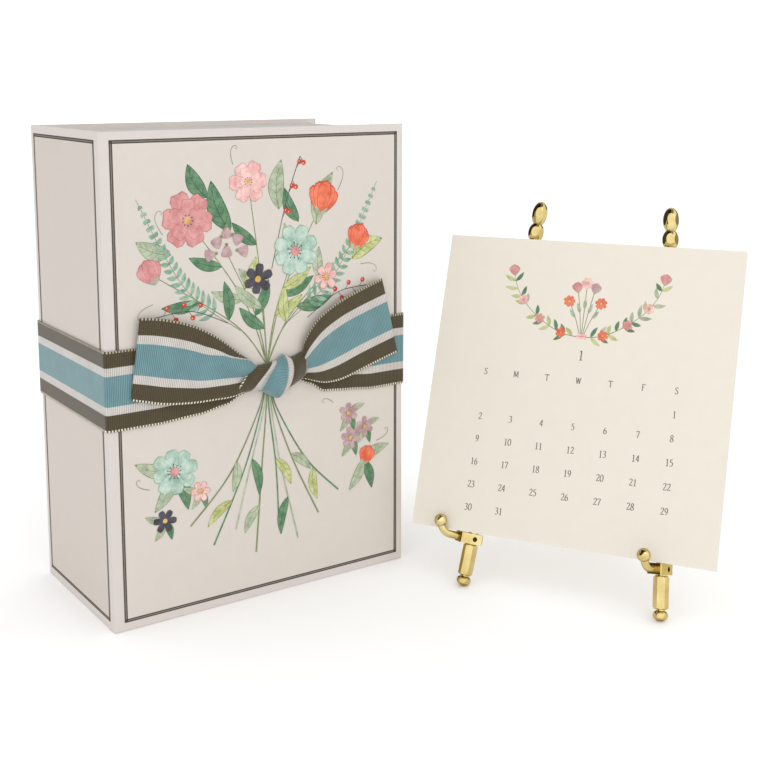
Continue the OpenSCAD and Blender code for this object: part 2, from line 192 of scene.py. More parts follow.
def paper(name, tint, deep, rough=0.68, fibre=2600.0):
    """Printed or plain paper: slow mottle, fine fibre, a faint tooth."""
    m, t, s = new_material(name, Roughness=rough, Specular_IOR_Level=0.35)
    place = object_place(t)
    slow = noise(t, place, 160.0, 4.0)
    fine = noise(t, place, fibre, 3.0, 0.7)
    tone = mix(t, "MIX", slow, srgb(deep), srgb(tint))
    grain = grey_ramp(t, fine, (0.3, 0.965), (0.7, 1.0))
    link(t, mix(t, "MULTIPLY", 1.0, tone, grain), s, "Base Color")
    link(t, grey_ramp(t, slow, (0.2, rough - 0.05), (0.8, rough + 0.06)), s, "Roughness")
    bump(t, s, fine, 0.00002)
    return m


def ink(name, code, deep, wash=260.0):
    """Ink on paper, with the uneven wash of a watercolour."""
    m, t, s = new_material(name, Roughness=0.62, Specular_IOR_Level=0.3)
    place = object_place(t)
    pool = noise(t, place, wash, 4.0, 0.6)
    link(t, ramp(t, pool, [(0.36, srgb(deep)), (0.62, srgb(code))]), s, "Base Color")
    bump(t, s, noise(t, place, 2600.0, 2.0), 0.00001)
    return m


def brass_material():
    """Polished brass with slow clouds of tone, fine specks and softly broken edges."""
    m, t, s = new_material("polished_brass", Metallic=1.0, Specular_Tint=(0.34, 0.22, 0.07, 1.0))
    place = object_place(t)
    cloud = noise(t, place, 130.0, 4.0)
    speck = noise(t, place, 1500.0, 3.0, 0.7)
    dark, middle, light = (0.60, 0.46, 0.18, 1), (0.73, 0.59, 0.26, 1), (0.81, 0.68, 0.34, 1)
    tone = ramp(t, cloud, [(0.30, dark), (0.55, middle), (0.75, light)])
    link(t, mix(t, "MULTIPLY", 0.25, tone, grey_ramp(t, speck, (0.35, 0.75), (0.6, 1.0))), s, "Base Color")
    link(t, grey_ramp(t, mix(t, "MIX", 0.4, cloud, speck), (0.3, 0.06), (0.7, 0.16)), s, "Roughness")
    edge = node(t, "ShaderNodeBevel", {"Radius": 0.00022}, samples=6)
    bump(t, s, speck, 0.000012, 0.6, edge.outputs["Normal"])
    return m


def screw_hole_shade_material():
    """Near-black metal, the painted shade of the screw's hole, so that a screw reads as a small dark hole."""
    m, t, s = new_material("blackened_steel", Metallic=1.0)
    speck = noise(t, object_place(t), 1800.0, 3.0)
    dark, light = (0.030, 0.022, 0.012, 1), (0.075, 0.055, 0.030, 1)
    link(t, ramp(t, speck, [(0.3, dark), (0.7, light)]), s, "Base Color")
    link(t, grey_ramp(t, speck, (0.3, 0.3), (0.7, 0.5)), s, "Roughness")
    return m


def ribbon_material():
    """Ribbed grosgrain: U runs along the ribbon in millimetres, V across it from 0 to 1."""
    m, t, s = new_material("grosgrain", Roughness=0.72, Specular_IOR_Level=0.3,
                           Sheen_Weight=0.35, Sheen_Roughness=0.45)
    uv = node(t, "ShaderNodeUVMap", uv_map="weave").outputs["UV"]
    part = node(t, "ShaderNodeSeparateXYZ", {0: uv})
    along, across = part.outputs["X"], part.outputs["Y"]
    brown, white, blue = srgb("51462F"), srgb("D8D2CC"), srgb("729AA0")
    bands = (brown, white, blue, white, brown)
    edges = [(0.0, brown)]
    for at, before, after in zip(STRIPE_SHARES, bands, bands[1:]):
        edges += [(at - STRIPE_SOFT_SHARE, before), (at + STRIPE_SOFT_SHARE, after)]
    tone = ramp(t, across, edges + [(1.0, brown)])
    cloud = noise(t, object_place(t), 140.0, 3.0)
    tone = mix(t, "MULTIPLY", 1.0, tone, grey_ramp(t, cloud, (0.3, 0.88), (0.7, 1.0)))
    wave = calc(t, "SINE", calc(t, "MULTIPLY", along, 2 * math.pi / RIB_PITCH))
    rib = calc(t, "MULTIPLY_ADD", wave, 0.5, 0.5)
    # painted shade in the grooves between the ribs and a faint painted highlight on their crests, multiplied
    # into the colour
    tone = mix(t, "MULTIPLY", 1.0, tone, grey_ramp(t, rib, (0.0, 0.48), (0.5, 1.04)))
    # cream loops: dashes along both rims, paler on the upper one
    rim = map_range(t, calc(t, "ABSOLUTE", calc(t, "SUBTRACT", across, 0.5)), *RIM_SHARES)
    loops = calc(t, "SINE", calc(t, "MULTIPLY", along, 2 * math.pi / PICOT))
    dash = calc(t, "MULTIPLY", rim, map_range(t, loops, -0.05, 0.15))
    dash = calc(t, "MULTIPLY", dash, map_range(t, across, 0.4, 0.6, 1.0, 0.5))
    link(t, mix(t, "MIX", dash, tone, srgb("F0EACE")), s, "Base Color")
    thread = calc(t, "SINE", calc(t, "MULTIPLY", across, 2 * math.pi * THREADS))
    bump(t, s, calc(t, "MULTIPLY_ADD", thread, 0.18, rib), 0.00012, 0.8)
    return m


BRASS = brass_material()
# near-black metal for the screws: painted shade of their holes
SCREW_HOLE_SHADE = screw_hole_shade_material()
CARD = paper("card_stock", "E8E1D5", "E4DDD0", fibre=3200.0)
COVER = paper("cover_paper", "D6CFC9", "D2CAC4", rough=0.6)
LINING = paper("lining_paper", "BFBBB7", "B5B1AC", rough=0.75)
RIBBON = ribbon_material()


def skin_of(name):
    """The material of one of the frame's own solids."""
    if name.startswith("card_"):
        return CARD
    if name.startswith("tray") or name.endswith("liner"):
        return LINING
    if name.endswith("board"):
        return COVER
    if name.startswith("ribbon"):
        return RIBBON
    # screws take the near-black metal that paints the shade of their holes
    return SCREW_HOLE_SHADE if name.endswith("screw") else BRASS


for name, obj in frame["nodes"].items():
    obj.data.materials.clear()
    obj.data.materials.append(skin_of(name))


# Mesh helpers


def make(name, verts, faces, materials, smooth=False, face_materials=None, uvs=None):
    """A mesh object; uvs holds one ribbon coordinate for each vertex."""
    mesh = bpy.data.meshes.new(name)
    mesh.from_pydata([tuple(v) for v in verts], [], faces)
    for m in materials:
        mesh.materials.append(m)
    if face_materials:
        mesh.polygons.foreach_set("material_index", face_materials)
    if uvs:
        layer = mesh.uv_layers.new(name="weave")
        for loop in mesh.loops:
            layer.data[loop.index].uv = uvs[loop.vertex_index]
    if smooth:
        mesh.polygons.foreach_set("use_smooth", [True] * len(mesh.polygons))
    mesh.validate()
    mesh.update()
    obj = bpy.data.objects.new(name, mesh)
    bpy.context.scene.collection.objects.link(obj)
    return obj


def cloth(name, point, coords, rows, cols, ring=False):
    """A strip of ribbon with two faces and closed edges. point(i, j) gives the middle surface in metres,
    i along it and j across it; coords(i, j) gives the ribbon coordinate."""
    mid = [[point(i, j) for j in range(cols)] for i in range(rows)]

    def normal(i, j):
        a, b = i - 1, i + 1
        if ring:
            a, b = a % rows, b % rows
        else:
            a, b = max(a, 0), min(b, rows - 1)
        du = mid[b][j] - mid[a][j]
        dv = mid[i][min(j + 1, cols - 1)] - mid[i][max(j - 1, 0)]
        n = du.cross(dv)
        return n.normalized() if n.length > 1e-12 else Vector((0, 0, 1))

    normals = [[normal(i, j) for j in range(cols)] for i in range(rows)]
    verts, uvs, faces = [], [], []
    for side in (0.5, -0.5):
        for i in range(rows):
            for j in range(cols):
                verts.append(mid[i][j] + normals[i][j] * (RIBBON_T * MM * side))
                uvs.append(coords(i, j))

    def at(layer, i, j):
        return layer * rows * cols + (i % rows) * cols + j

    end, last = cols - 1, rows - 1
    for i in range(rows if ring else last):
        for j in range(end):
            faces.append((at(0, i, j), at(0, i + 1, j), at(0, i + 1, j + 1), at(0, i, j + 1)))
            faces.append((at(1, i, j), at(1, i, j + 1), at(1, i + 1, j + 1), at(1, i + 1, j)))
        faces.append((at(0, i, 0), at(1, i, 0), at(1, i + 1, 0), at(0, i + 1, 0)))
        faces.append((at(0, i, end), at(0, i + 1, end), at(1, i + 1, end), at(1, i, end)))
    if not ring:
        for j in range(end):
            faces.append((at(0, 0, j), at(0, 0, j + 1), at(1, 0, j + 1), at(1, 0, j)))
            faces.append((at(0, last, j), at(1, last, j), at(1, last, j + 1), at(0, last, j + 1)))
    obj = make(name, verts, faces, [RIBBON], smooth=True, uvs=uvs)
    return obj


def smooth_step(x):
    x = min(1.0, max(0.0, x))
    return x * x * (3 - 2 * x)


def table(points, x):
    """Smooth reading of a table of (x, value...) rows."""
    if x <= points[0][0]:
        return points[0][1:]
    for a, b in zip(points, points[1:]):
        if x <= b[0]:
            u = (x - a[0]) / (b[0] - a[0])
            k = smooth_step(u) * 0.5 + 0.5 * u
            return tuple(p + (q - p) * k for p, q in zip(a[1:], b[1:]))
    return points[-1][1:]


def spline(points, n):
    """Catmull-Rom curve through 2-D points, n steps a span."""
    pts = [points[0]] + list(points) + [points[-1]]
    out = []
    for span in zip(pts, pts[1:], pts[2:], pts[3:]):
        for k in range(n):
            t = k / n
            out.append(tuple(0.5 * (2 * q + (r - p) * t + (2 * p - 5 * q + 4 * r - s) * t * t
                                    + (3 * q - p - 3 * r + s) * t ** 3) for p, q, r, s in zip(*span)))
    return out + [tuple(points[-1])]


def along_line(points, u):
    """Point at share u of a polyline's length."""
    lengths = [math.dist(a, b) for a, b in zip(points, points[1:])]
    want = u * sum(lengths)
    for (a, b), d in zip(zip(points, points[1:]), lengths):
        if want <= d or b is points[-1]:
            k = min(1.0, want / d) if d else 0.0
            return tuple(p + (q - p) * k for p, q in zip(a, b))
        want -= d


def polar(x, y, t, far):
    """The point at a distance from x, y in the direction t."""
    return (x + far * math.cos(t), y + far * math.sin(t))


# Printed matter


PETAL_POINTS = 12


class Print:
    """Flat printed shapes on a face. Each layer stands a hair above the one below it, and within the
    layers from 0 up each shape stands a trace above the one drawn before it."""

    def __init__(self, step, first, drift):
        self.polys, self.mats, self.step, self.first, self.drift = [], [], step, first, drift

    def poly(self, points, material, layer):
        if material not in self.mats:
            self.mats.append(material)
        self.polys.append(([tuple(p) for p in points], self.mats.index(material), layer))

    def stroke(self, points, width, material, layer, taper=None, pen=None):
        """A line of ink. taper(u) scales its width; pen = (angle, thin share) thins it like a broad nib."""
        pts = [points[0]] + [p for a, p in zip(points, points[1:]) if math.dist(a, p) > 1e-6]
        left, right = [], []
        for i, p in enumerate(pts):
            a, b = pts[max(i - 1, 0)], pts[min(i + 1, len(pts) - 1)]
            dx, dy = b[0] - a[0], b[1] - a[1]
            d = math.hypot(dx, dy) or 1.0
            w = width / 2
            if taper:
                w *= taper(i / (len(pts) - 1))
            if pen:
                w *= pen[1] + (1 - pen[1]) * abs(math.sin(math.atan2(dy, dx) - pen[0]))
            left.append((p[0] - dy / d * w, p[1] + dx / d * w))
            right.append((p[0] + dy / d * w, p[1] - dx / d * w))
        for i in range(len(pts) - 1):
            self.poly([right[i], right[i + 1], left[i + 1], left[i]], material, layer)

    def dot(self, x, y, r, material, layer, n):
        self.poly([polar(x, y, 2 * math.pi * k / n, r) for k in range(n)], material, layer)

    def leaf(self, x, y, turn, length, width, body, vein, layer, n, bend=0.0, veins=3):
        """A leaf from its stalk's end: darker rim, lighter body, midrib and side veins."""
        c, s = math.cos(turn), math.sin(turn)

        def at(u, v, grow=1.0):
            half = width / 2 * math.sin(math.pi * u ** 0.85) ** 0.8 if 0 < u < 1 else 0.0
            a = length * u
            b = v * half * grow + bend * length * math.sin(math.pi * u)
            return (x + a * c - b * s, y + a * s + b * c)

        us = [k / n for k in range(n + 1)]
        inner = [0.04 + 0.9 * u for u in us]
        rim = [at(u, -1) for u in us] + [at(u, 1) for u in reversed(us[1:-1])]
        blade = [at(u, -1, 0.9) for u in inner] + [at(u, 1, 0.9) for u in reversed(inner)]
        midrib = [at(u, 0) for u in us[:-1]]
        self.poly(rim, vein, layer)
        self.poly(blade, body, layer + 0.1)
        self.stroke(midrib, width * 0.05 + 0.08, vein, layer + 0.2, lambda u: 1 - 0.7 * u)
        for k in range(1, veins + 1):
            u = k / (veins + 1.5)
            for v in (-1, 1):
                ends = [at(u, 0), at(min(0.95, u + 0.13), 0.72 * v)]
                self.stroke(ends, width * 0.02 + 0.05, vein, layer + 0.2)

    def petal(self, x, y, turn, length, width, body, rim, layer, notch=0.0):
        """A round-ended petal from its root, with a darker rim."""
        c, s = math.cos(turn), math.sin(turn)

        def ring(grow):
            out = []
            for k in range(PETAL_POINTS):
                a = -math.pi + 2 * math.pi * k / PETAL_POINTS
                u = 0.5 + 0.5 * math.cos(a)
                r = length * u * (1 - notch * math.exp(-(a * 2.2) ** 2))
                v = width / 2 * math.sin(a) * (0.45 + 0.55 * u)
                r, v = length * 0.5 + (r - length * 0.5) * grow, v * grow
                out.append((x + r * c - v * s, y + r * s + v * c))
            return out

        self.poly(ring(1.0), rim, layer)
        self.poly(ring(0.93), body, layer + 0.1)

    def build(self, name, place, body):
        """One mesh of all shapes; place(x, y, out) gives their points in metres."""
        verts, faces, mats, drawn = [], [], [], 0
        for points, m, layer in self.polys:
            out = self.first + self.step * layer + self.drift * drawn
            drawn += layer >= 0
            start = len(verts)
            area = sum(a[0] * b[1] - b[0] * a[1] for a, b in zip(points, points[1:] + points[:1]))
            order = points if area > 0 else points[::-1]
            verts += [place(x, y, out) for x, y in order]
            faces.append(tuple(range(start, len(verts))))
            mats.append(m)
        obj = make(name, verts, faces, self.mats, face_materials=mats)
        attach(obj, body)


TEXT = ink("ink_text", "6E665C", "625A51", 900.0)
LINE = ink("ink_line", "453E38", "3D3631", 900.0)
BAND = ink("ink_band", "837B72", "7C746B", 900.0)
SHADES = {
    "pink": ("DA9F9C", "C4827F"),
    "rose": ("C97F83", "AE6468"),
    "blush": ("F0CBC4", "DBA49F"),
    "coral": ("EB8467", "D5603F"),
    "red": ("CF5238", "B53E28"),
    "green": ("6E9271", "4D7555"),
    "deep": ("44694E", "37583F"),
    "sage": ("B7C2A8", "95A287"),
    "moss": ("8C9470", "747D58"),
    "lime": ("CBCF95", "A9B06C"),
    "mint": ("C4D6C9", "97B5A6"),
    "teal": ("A0BCA8", "6F9683"),
    "mauve": ("C3AAAA", "9F8486"),
    "charcoal": ("55515A", "3A383D"),
    "gold": ("DDBD6B", "C29A48"),
}
INK = {k: ink("ink_" + k, *v) for k, v in SHADES.items()}

# Numerals and letters, drawn stroke by stroke

# in hundredths of a character's height: c is a curve through its points, l a straight line
GLYPH_LINES = {
    "0": "c 25,0 7,16 3,50 7,84 25,100 43,84 47,50 43,16 25,0",
    "1": "l 12,86 27,100; l 27,100 27,0; l 13,1 41,1",
    "2": "c 6,78 13,94 26,100 40,92 43,74 35,52 19,26 5,4; l 5,4 47,4; l 46,3 48,17",
    "3": "c 7,86 18,99 33,96 40,80 33,62 18,54; c 18,54 36,49 44,28 35,7 18,0 4,8",
    "4": "l 35,0 35,100; l 35,100 2,30; l 2,30 49,30",
    "5": "l 42,98 14,98; l 14,98 10,56; c 10,56 24,62 38,54 43,33 35,8 19,0 4,7",
    "6": "c 40,98 22,86 8,60 5,33 12,7 26,0 40,10 44,30 38,50 25,57 9,44",
    "7": "l 4,97 46,97; c 46,97 34,66 24,32 19,0; l 5,99 4,83",
    "8": "c 25,53 10,66 10,88 25,100 40,88 40,66 25,53 7,36 6,13 25,0 44,13 43,36 25,53",
    "S": "c 43,84 36,97 23,100 9,90 8,71 21,56 35,45 43,29 38,8 23,0 9,6 5,19",
    "M": "l 6,0 12,100; l 12,100 40,8; l 40,8 68,100; l 68,100 74,0; l 0,1 14,1; l 66,1 82,1",
    "T": "l 3,97 59,97; l 31,98 31,0; l 20,1 42,1; l 3,98 3,82; l 59,98 59,82",
    "W": "l 2,100 22,0; l 22,0 40,92; l 40,92 58,0; l 58,0 78,100",
    "F": "l 14,0 14,100; l 14,97 50,97; l 14,53 42,53; l 4,1 25,1; l 50,98 50,82",
}


def strokes_of(text):
    """The strokes of one character, each a kind and its points."""
    parts = [part.split() for part in text.split(";")]
    return [(kind, [tuple(int(v) / 100 for v in p.split(",")) for p in pts]) for kind, *pts in parts]


GLYPHS = {ch: strokes_of(text) for ch, text in GLYPH_LINES.items()}
GLYPHS["9"] = [(k, [(0.49 - x, 1 - y) for x, y in pts]) for k, pts in GLYPHS["6"]]
GLYPH_WIDTHS = {"M": 0.82, "T": 0.62, "W": 0.8, "F": 0.52}
DIGIT_WIDTH, GLYPH_GAP, CURVE_STEPS = 0.5, 0.1, 3
PEN = (math.radians(25), 0.38)
TEXT_LAYER = -1  # text lies under the drawn shapes and takes no drift


def write(sheet, text, x, y, size, material, weight):
    """Centred characters whose feet stand on y."""
    widths = [GLYPH_WIDTHS.get(ch, DIGIT_WIDTH) for ch in text]
    left = x - (sum(widths) + GLYPH_GAP * (len(text) - 1)) * size / 2
    for ch, width in zip(text, widths):
        for kind, pts in GLYPHS[ch]:
            placed = [(left + px * size, y + py * size) for px, py in pts]
            line = spline(placed, CURVE_STEPS) if kind == "c" else placed
            sheet.stroke(line, weight * size, material, TEXT_LAYER, pen=PEN)
        left += (width + GLYPH_GAP) * size


# Flowers, where a and b name the body's and the rim's shade


def tulip(p, x, y, turn, size, a, b, layer):
    """Five petals laid over each other, and two small leaves at the foot."""
    petals = ((-0.5, 0.5), (0.5, 0.5), (-0.24, 0.6), (0.24, 0.6), (0.0, 0.62))
    for k, (lean, w) in enumerate(petals):
        p.petal(x, y, turn + lean, size * (0.9 + 0.04 * k), size * w, INK[a], INK[b], layer + 0.2 * k)
    for hand in (-1, 1):
        p.leaf(x, y, turn + hand * 0.75, size * 0.34, size * 0.13, INK["sage"], INK["moss"],
               layer + 1.2, n=5, veins=0)


LARGE_DAISY, STAMENS = 4, 11


def daisy(p, x, y, r, n, a, b, heart, layer, rand, squash):
    """Separate petals round a heart with stamens. A large one has fine lines on its petals."""
    start = rand.random() * 6.28
    for k in range(n):
        t = start + 2 * math.pi * k / n
        size = r * (0.92 + 0.16 * rand.random())
        p.petal(x, y, t, size, r * squash, INK[a], INK[b], layer + 0.2 * k, notch=0.06)
        if r > LARGE_DAISY:
            for lean in (-0.16, 0.0, 0.16):
                far = size * (0.55 + 0.1 * rand.random())
                line = [polar(x, y, t, r * 0.2), polar(x, y, t + lean, far)]
                p.stroke(line, 0.02 * r, INK[b], layer + 0.2 * k + 0.15, taper=lambda u: 1 - 0.8 * u)
    p.dot(x, y, r * 0.2, INK[heart], layer + 2, 14)
    for k in range(STAMENS):
        t = 2 * math.pi * k / STAMENS
        tip = polar(x, y, t, r * (0.26 + 0.06 * (k % 2)))
        p.stroke([polar(x, y, t, r * 0.16), tip], 0.018 * r + 0.03, INK["charcoal"], layer + 2.1)
        p.dot(*tip, r * 0.03, INK["charcoal"], layer + 2.2, 6)


def peony(p, x, y, r, a, b, layer, rand):
    """Three rings of broad petals, each one laid over the last."""
    start = rand.random() * 6.28
    for k, (n, grow, shift) in enumerate(((6, 1.0, 0.0), (5, 0.74, 0.4), (4, 0.48, 0.9))):
        for j in range(n):
            t = start + shift + 2 * math.pi * j / n
            p.petal(x, y, t, r * grow * (0.93 + 0.12 * rand.random()), r * grow * 0.86, INK[a], INK[b],
                    layer + 0.9 * k + 0.14 * j, notch=0.12)
    p.dot(x, y, r * 0.1, INK["gold"], layer + 2.8, 12)
    for j in range(9):
        t = start + 2 * math.pi * j / 9
        p.dot(*polar(x, y, t, r * 0.17), r * 0.028, INK["deep"], layer + 2.9, 6)


def bells(p, pts, a, b, layer, size):
    """Small hanging flowers, each with its place and turn."""
    for x, y, t in pts:
        for k, lean in enumerate((-0.35, 0.35, 0.0)):
            p.petal(x, y, t + lean, size, size * 0.5, INK[a], INK[b], layer + 0.2 * k, notch=0.1)
        p.dot(x, y, size * 0.13, INK["moss"], layer + 1, 8)


def tendril(p, x, y, turn, size, hand):
    """A thin stalk that ends in a curl."""
    line, steps = [], 25
    for k in range(steps + 1):
        u = k / steps
        t = turn + hand * (0.5 * u + 5.2 * u ** 3)
        x, y = polar(x, y, t, size * 0.062 * (1 - 0.72 * u))
        line.append((x, y))
    p.stroke(line, 0.3, INK["moss"], 0, taper=lambda u: 1 - 0.5 * u)


# The month cards

MONTH_DAYS = [31, 28, 31, 30, 31, 30, 31, 31, 30, 31, 30, 31]
FIRST_COLUMN = [6, 2, 2, 5, 0, 3, 5, 1, 4, 6, 2, 4]  # where each month's first day stands
COLUMNS = [-43.5 + 14.9 * k for k in range(7)]
DAY_Y, DAY_ROW, DAY_SIZE = 62.8, 10.6, 3.0
INITIAL_Y, INITIAL_SIZE = 73.5, 2.9
MONTH_X, MONTH_Y, MONTH_SIZE = 1.0, 84.4, 4.4
THIN, BOLD = 0.13, 0.145
VINE = ((0.6, 95.0), (9, 96.2), (18, 100.5), (27, 107.5), (33, 115.5), (35.5, 122.5))
VINE_LEAVES, VINE_FLOWER_SHARES = 11, (0.2, 0.46, 0.72)
POSY = ((-7.5, 15.5), (-3.8, 20.5), (0, 24.5), (3.8, 20.5), (7.5, 15.5))  # x and height of each stem
POSY_Y = 96
POSY_TIE = ((-2.6, 94.2), (2.6, 94.2), (2.2, 96.6), (-2.2, 96.6))
POSY_TIE_LINE = ((-2.5, 95.4), (2.5, 95.4))
CARD_FLOWERS = [("coral", "red"), ("pink", "rose"), ("blush", "pink"), ("mauve", "rose")]
GREENS = [("green", "deep"), ("sage", "moss"), ("lime", "moss")]
# step is the rise from layer to layer, first the height of layer 0, and drift the rise from shape to shape
CARD_PRINT = dict(step=0.0012, first=0.004, drift=0.000008)


def month_print(index):
    """One card: a garland over a plain month numeral, weekday initials and the days."""
    rand = random.Random(40 + index)
    p = Print(**CARD_PRINT)
    for x, ch in zip(COLUMNS, "SMTWTFS"):
        write(p, ch, x, INITIAL_Y, INITIAL_SIZE, TEXT, BOLD)
    for day in range(MONTH_DAYS[index]):
        row, col = divmod(day + FIRST_COLUMN[index], 7)
        write(p, str(day + 1), COLUMNS[col], DAY_Y - DAY_ROW * row, DAY_SIZE, TEXT, BOLD)
    write(p, str(index + 1), MONTH_X, MONTH_Y, MONTH_SIZE, TEXT, THIN)
    # two mirrored vines that rise from the middle and lean outwards, flowers between their leaves
    for side in (-1, 1):
        vine = spline([(side * x, y) for x, y in VINE], 5)
        p.stroke(vine, 0.42, INK["moss"], 0, taper=lambda u: 1 - 0.5 * u)
        for k in range(VINE_LEAVES):
            u = 0.08 + 0.085 * k
            x, y = along_line(vine, u)
            a, b = along_line(vine, max(0, u - 0.02)), along_line(vine, min(1, u + 0.02))
            t = math.atan2(b[1] - a[1], b[0] - a[0])
            for hand in (-1, 1):
                if rand.random() < 0.86:
                    body, rim = rand.choice(GREENS)
                    p.leaf(x, y, t + hand * (0.7 + 0.3 * rand.random()), 4.6 + 1.8 * rand.random(), 1.9,
                           INK[body], INK[rim], 1, bend=0.04 * hand, n=6, veins=0)
        for k, u in enumerate(VINE_FLOWER_SHARES):
            x, y = along_line(vine, u)
            daisy(p, x, y, 2.7, 6, *CARD_FLOWERS[(k + index) % 4], "gold", 2, rand, 0.8)
        x, y = vine[-1]
        tulip(p, x, y - 0.6, math.radians(90 - side * 8), 5.2, *CARD_FLOWERS[(index + 1) % 4], 2)
    # a small upright posy in the middle
    for k, (dx, h) in enumerate(POSY):
        top = POSY_Y + h
        stem = spline([(dx * 0.12, POSY_Y), (dx * 0.5, POSY_Y + h * 0.5), (dx, top)], 5)
        p.stroke(stem, 0.34, INK["moss"], 0)
        p.leaf(*along_line(stem, 0.5), math.radians(90 - dx * 5), 5.0, 1.7, INK["sage"], INK["moss"], 1,
               n=6, veins=0)
        a, b = CARD_FLOWERS[(k + index) % 4]
        if k % 2:
            tulip(p, dx, top - 0.8, math.radians(90 - dx * 3), 5.0, a, b, 2)
        else:
            daisy(p, dx, top, 3.0, 7, a, b, "gold", 2, rand, 0.75)
    p.poly(POSY_TIE, INK["blush"], 3)
    p.stroke(POSY_TIE_LINE, 0.25, INK["rose"], 4)
    p.build("card_print_%02d" % (index + 1), on_card(index), "month_%02d" % (index + 1))


for i in range(12):
    month_print(i)

# The box's cover paper

PANEL = paper("panel_paper", "D6CFC6", "D2CAC1", rough=0.6)
# the spine's panel is the front's panel paper made darker: painted shade for the side turned away from the
# light
PANEL_SPINE_PAINTED_SHADE = paper("panel_paper_spine_painted_shade", "D0C7BF", "CCC2BA", rough=0.6)
# the paper's two faces off the boards, its corner's radius, and its turn over a board's edge
PAPER_OUT, PAPER_IN, PAPER_CORNER, BOARD_EDGE = 0.3, 0.06, 1.05, 1.9
CORNER_STEPS = 7


def rounded(corners, radius):
    """Open path through the corners, each inner corner turned with a radius."""
    out = [corners[0]]
    for a, b, c in zip(corners, corners[1:], corners[2:]):
        a, b, c = Vector(a), Vector(b), Vector(c)
        u, v = (a - b).normalized(), (c - b).normalized()
        centre = b + (u + v) * radius
        for k in range(CORNER_STEPS + 1):
            t = math.pi / 2 * k / CORNER_STEPS
            out.append(tuple(centre - v * radius * math.cos(t) - u * radius * math.sin(t)))
    return out + [corners[-1]]


def cover_paper():
    """The paper that wraps the boards and turns softly round the spine's corners."""
    def wrap(out):
        far, corner = BOX_W + out, PAPER_CORNER - (PAPER_OUT - out)
        return rounded([(far, BOARD_EDGE), (far, -out), (-out, -out), (-out, BOX_D + out),
                        (far, BOX_D + out), (far, BOX_D - BOARD_EDGE)], corner)

    outer, inner = wrap(PAPER_OUT), wrap(PAPER_IN)
    verts, faces, n = [], [], len(outer)
    for z in (0.0, BOX_H):
        for row in (outer, inner):
            verts += [(box_frame @ Vector((x, y, z))) * MM for x, y in row]
    for k in range(n - 1):
        faces += [(k, k + 1, 2 * n + k + 1, 2 * n + k), (n + k + 1, n + k, 3 * n + k, 3 * n + k + 1),
                  (2 * n + k, 2 * n + k + 1, 3 * n + k + 1, 3 * n + k), (k + 1, k, n + k, n + k + 1)]
    faces += [(0, 2 * n, 3 * n, n), (n - 1, 2 * n - 1, 4 * n - 1, 3 * n - 1)]
    obj = make("cover_paper", verts, faces, [COVER])
    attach(obj, "base")


cover_paper()

# The cover's print: borders and a tied bouquet

RULE_BAND, RULE_LINE = 1.5, 0.5
# the border's distance from each panel's left, lower, right and upper edge
FRONT_MARGINS = (4.2, 3.6, 3.2, 3.4)
SPINE_MARGINS = (3.4, 3.6, 4.2, 3.4)


def border(p, width, margins, panel):
    """A tinted panel, then two dark lines with grey between them and a dark square at each corner."""
    x0, z0, x1, z1 = margins[0], margins[1], width - margins[2], BOX_H - margins[3]

    def strip(inset, wide, material, layer):
        a, b, c, d = x0 + inset, z0 + inset, x1 - inset, z1 - inset
        low_z, high_z = b + wide, d - wide
        for q in ([(a, b), (c, b), (c, low_z), (a, low_z)],
                  [(a, high_z), (c, high_z), (c, d), (a, d)],
                  [(a, low_z), (a + wide, low_z), (a + wide, high_z), (a, high_z)],
                  [(c - wide, low_z), (c, low_z), (c, high_z), (c - wide, high_z)]):
            p.poly(q, material, layer)

    p.poly([(x0, z0), (x1, z0), (x1, z1), (x0, z1)], panel, -1)
    strip(0, RULE_BAND, BAND, 0)
    strip(0, RULE_LINE, LINE, 1)
    strip(RULE_BAND - RULE_LINE, RULE_LINE, LINE, 1)
    for x in (x0, x1 - RULE_BAND):
        for z in (z0, z1 - RULE_BAND):
            far_x, far_z = x + RULE_BAND, z + RULE_BAND
            p.poly([(x, z), (far_x, z), (far_x, far_z), (x, far_z)], LINE, 2)


COVER_PRINT = dict(step=0.008, first=0.325, drift=0.00005)
COVER_MID = 75
TIE = (COVER_MID, 107)  # where the stems meet, under the bow
# kind, x, z, size, body's and rim's shade
HEADS = (
    ("peony", 38, 174, 13.5, "pink", "rose"), ("peony", 67, 189, 10, "blush", "pink"),
    ("tulip", 103, 176, 15, "coral", "red"), ("tulip", 121, 158, 12, "coral", "red"),
    ("daisy", 90, 157, 12, "mint", "teal"), ("bells", 56, 159, 6, "mauve", "rose"),
    ("tulip", 23, 151, 11, "pink", "rose"), ("daisy", 71, 146, 7.5, "charcoal", "charcoal"),
    ("daisy", 106, 144, 6.5, "blush", "rose"))
SMALL_HEADS = (
    ("daisy", 29, 66, 11, "mint", "teal"), ("daisy", 24, 45, 5.5, "charcoal", "charcoal"),
    ("daisy", 41, 55, 5, "blush", "rose"), ("daisy", 118, 78, 5.4, "mauve", "rose"),
    ("daisy", 127, 70, 5, "mauve", "rose"), ("daisy", 119, 66, 5.6, "mauve", "rose"),
    ("tulip", 126, 54, 9, "coral", "red"))
# x, z, turn, length, width, body's and rim's shade
BROAD_LEAVES = (
    (58, 168, 1.95, 24, 9, "green", "deep"), (101, 168, 1.2, 25, 8.5, "sage", "moss"),
    (120, 151, 0.45, 19, 8, "lime", "moss"), (30, 160, 2.75, 17, 7.5, "sage", "moss"),
    (82, 176, 1.5, 22, 8, "sage", "moss"), (47, 183, 2.1, 17, 7.5, "green", "deep"),
    (92, 170, 2.0, 17, 6, "green", "deep"))
# from x, z to x, z
FRONDS = ((84, 124, 134, 186), (62, 124, 15, 184))
TWIGS = ((96, 126, 128, 138), (56, 128, 22, 134), (78, 150, 93, 199))
# places of the small bells round their flower's own
BELLS = ((-5, 0), (0, 3.4), (5, 0.6), (-2.5, 7), (3, 7.6), (0, 11.5))
